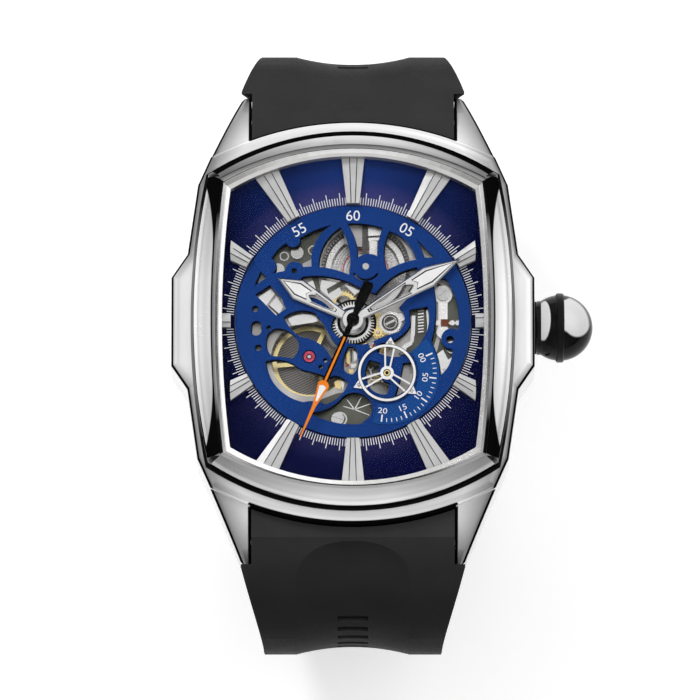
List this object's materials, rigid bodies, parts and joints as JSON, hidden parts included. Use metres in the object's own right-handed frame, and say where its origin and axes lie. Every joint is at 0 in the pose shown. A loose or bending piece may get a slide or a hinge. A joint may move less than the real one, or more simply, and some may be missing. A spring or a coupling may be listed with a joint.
{
  "type": "skeleton wristwatch",
  "caption": "Tonneau steel wristwatch with a blue skeleton dial, geared hands, small seconds, ball crown and a black rubber strap closed by a pin buckle",
  "frame": {"origin": "middle of the flat outer face of the case back, on the axis of the hands", "axes": "+Z from the case back to the dial, +Y to 12 o'clock, +X to the crown at 3 o'clock"},
  "size_m": [0.0497, 0.0718, 0.0587],
  "materials": {
    "case_steel": "satin, brushed",
    "bezel_steel": "polished",
    "black_inlay": "gloss",
    "crystal": "clear, polished",
    "seal_rubber": "matt",
    "dial_blue": "lacquered, deep blue",
    "index_steel": "polished",
    "lattice_blue": "satin blue",
    "scale_blue": "satin light blue",
    "plate_nickel": "satin",
    "bridge_nickel": "striped",
    "ruby": "polished",
    "screw_steel": "polished",
    "wheel_brass": "satin gold",
    "wheel_steel": "satin",
    "balance_gold": "polished pale gold",
    "spring_steel": "satin",
    "hand_steel": "polished",
    "seconds_black": "gloss black with orange",
    "rotor_metal": "satin",
    "crown_metal": "polished dark",
    "crown_rubber": "matt",
    "strap_rubber": "matt",
    "buckle_steel": "satin"
  },
  "bodies": {
    "case": {"case_middle": "case_steel", "bezel": "bezel_steel", "bezel_inlays": "black_inlay", "crystal": "crystal", "crystal_gasket": "seal_rubber", "dial_plate": "dial_blue", "hour_indexes": "index_steel", "dial_lattice": "lattice_blue", "seconds_scale": "scale_blue", "main_plate": "plate_nickel", "plate_jewels": "ruby", "barrel_bridge": "bridge_nickel", "train_bridge": "bridge_nickel", "balance_cock": "bridge_nickel", "pallet_bridge": "bridge_nickel", "movement_holder": "plate_nickel", "bridge_screws": "screw_steel", "case_back": "case_steel", "case_back_crystal": "crystal", "case_back_gasket": "seal_rubber", "case_back_screws": "screw_steel", "hairspring": "spring_steel", "rotor_bearing": "screw_steel", "crown_tube": "case_steel", "spring_bars": "screw_steel", "strap_12": "strap_rubber", "strap_6": "strap_rubber", "strap_keepers": "strap_rubber", "buckle_frame": "buckle_steel"},
    "rotor": {"rotor_web": "rotor_metal", "rotor_weight": "rotor_metal"},
    "barrel": {"barrel_drum": "wheel_steel", "mainspring": "spring_steel"},
    "ratchet": {"barrel_arbor": "screw_steel", "ratchet_wheel": "wheel_steel"},
    "crown_gear": {"crown_wheel": "wheel_steel"},
    "click_lever": {"click": "wheel_steel"},
    "minute": {"centre_wheel": "wheel_brass", "cannon_pinion": "wheel_steel", "minute_hand": "hand_steel"},
    "hour": {"hour_wheel": "wheel_steel", "hour_hand": "hand_steel"},
    "motion_wheel": {"minute_wheel": "wheel_brass"},
    "third": {"third_wheel": "wheel_brass"},
    "seconds": {"seconds_pinion": "wheel_steel", "seconds_hand": "seconds_black"},
    "fourth": {"fourth_wheel": "wheel_brass", "small_seconds_hand": "hand_steel"},
    "escape": {"escape_wheel": "wheel_steel"},
    "pallets": {"pallet_fork": "wheel_steel", "pallet_stones": "ruby"},
    "balance": {"balance_wheel": "balance_gold", "balance_staff": "wheel_steel"},
    "winding": {"winding_pinion": "wheel_steel", "sliding_pinion": "wheel_steel"},
    "crown_group": {"crown": "crown_metal", "crown_ring": "crown_rubber", "winding_stem": "wheel_steel"},
    "lever": {"setting_lever": "wheel_steel"},
    "tongue": {"buckle_tongue": "buckle_steel"}
  },
  "joints": [
    {"name": "rotor_spin", "type": "hinge", "parent": "case", "child": "rotor", "pos_m": [0, 0, 0.0027], "axis": [0, 0, 1], "continuous": true},
    {"name": "seconds_turn", "type": "hinge", "parent": "case", "child": "seconds", "pos_m": [0, 0, 0.0053], "axis": [0, 0, 1], "continuous": true},
    {"name": "minute_turn", "type": "hinge", "parent": "case", "child": "minute", "pos_m": [0, 0, 0.0064], "axis": [0, 0, 1], "continuous": true},
    {"name": "hour_turn", "type": "hinge", "parent": "case", "child": "hour", "pos_m": [0, 0, 0.0088], "axis": [0, 0, 1], "continuous": true},
    {"name": "motion_turn", "type": "hinge", "parent": "case", "child": "motion_wheel", "pos_m": [0.00297, -0.0012, 0.0085], "axis": [0, 0, 1], "continuous": true},
    {"name": "third_turn", "type": "hinge", "parent": "case", "child": "third", "pos_m": [0.0026, -0.00272, 0.0053], "axis": [0, 0, 1], "continuous": true},
    {"name": "small_seconds_turn", "type": "hinge", "parent": "case", "child": "fourth", "pos_m": [0.004, -0.0062, 0.0058], "axis": [0, 0, 1], "continuous": true},
    {"name": "escape_turn", "type": "hinge", "parent": "case", "child": "escape", "pos_m": [0.00083, -0.0059, 0.0064], "axis": [0, 0, 1], "continuous": true},
    {"name": "barrel_turn", "type": "hinge", "parent": "case", "child": "barrel", "pos_m": [0.0015, 0.0066, 0.0056], "axis": [0, 0, 1], "continuous": true},
    {"name": "pallet_rock", "type": "hinge", "parent": "case", "child": "pallets", "pos_m": [-0.00163, -0.0052, 0.0064], "axis": [0, 0, 1], "range_deg": [-4, 4]},
    {"name": "balance_swing", "type": "hinge", "parent": "case", "child": "balance", "pos_m": [-0.00515, -0.0042, 0.0053], "axis": [0, 0, 1], "range_deg": [-160, 160]},
    {"name": "crown_turn", "type": "hinge", "parent": "case", "child": "winding", "pos_m": [0.008, 0, 0.0055], "axis": [1, 0, 0], "continuous": true},
    {"name": "crown_pull", "type": "slide", "parent": "winding", "child": "crown_group", "axis": [1, 0, 0], "range_m": [0, 0.0012]},
    {"name": "crown_gear_turn", "type": "hinge", "parent": "case", "child": "crown_gear", "pos_m": [0.00565, 0, 0.0039], "axis": [0, 0, 1], "continuous": true},
    {"name": "ratchet_turn", "type": "hinge", "parent": "case", "child": "ratchet", "pos_m": [0.0015, 0.0066, 0.0039], "axis": [0, 0, 1], "continuous": true},
    {"name": "click_rock", "type": "hinge", "parent": "case", "child": "click_lever", "pos_m": [-0.00579, 0.00815, 0.0039], "axis": [0, 0, 1], "range_deg": [-5, 12]},
    {"name": "setting_swing", "type": "hinge", "parent": "case", "child": "lever", "pos_m": [0.0106, 0.0034, 0.0084], "axis": [0, 0, 1], "range_deg": [0, 18]},
    {"name": "tongue_lift", "type": "hinge", "parent": "case", "child": "tongue", "pos_m": [0, 0.0015, -0.03935], "axis": [1, 0, 0], "range_deg": [0, 22]}
  ],
  "couplings": [
    {"joint": "minute_turn", "follows": "seconds_turn", "ratio": 0.016667},
    {"joint": "hour_turn", "follows": "seconds_turn", "ratio": 0.0013889},
    {"joint": "motion_turn", "follows": "seconds_turn", "ratio": -0.0055556},
    {"joint": "third_turn", "follows": "seconds_turn", "ratio": -0.13333},
    {"joint": "small_seconds_turn", "follows": "seconds_turn", "ratio": 1},
    {"joint": "escape_turn", "follows": "seconds_turn", "ratio": -12},
    {"joint": "barrel_turn", "follows": "seconds_turn", "ratio": -0.0027778},
    {"joint": "crown_gear_turn", "follows": "crown_turn", "ratio": 0.66667},
    {"joint": "ratchet_turn", "follows": "crown_turn", "ratio": -0.2963},
    {"joint": "setting_swing", "follows": "crown_pull", "rad_per_m": 145}
  ]
}
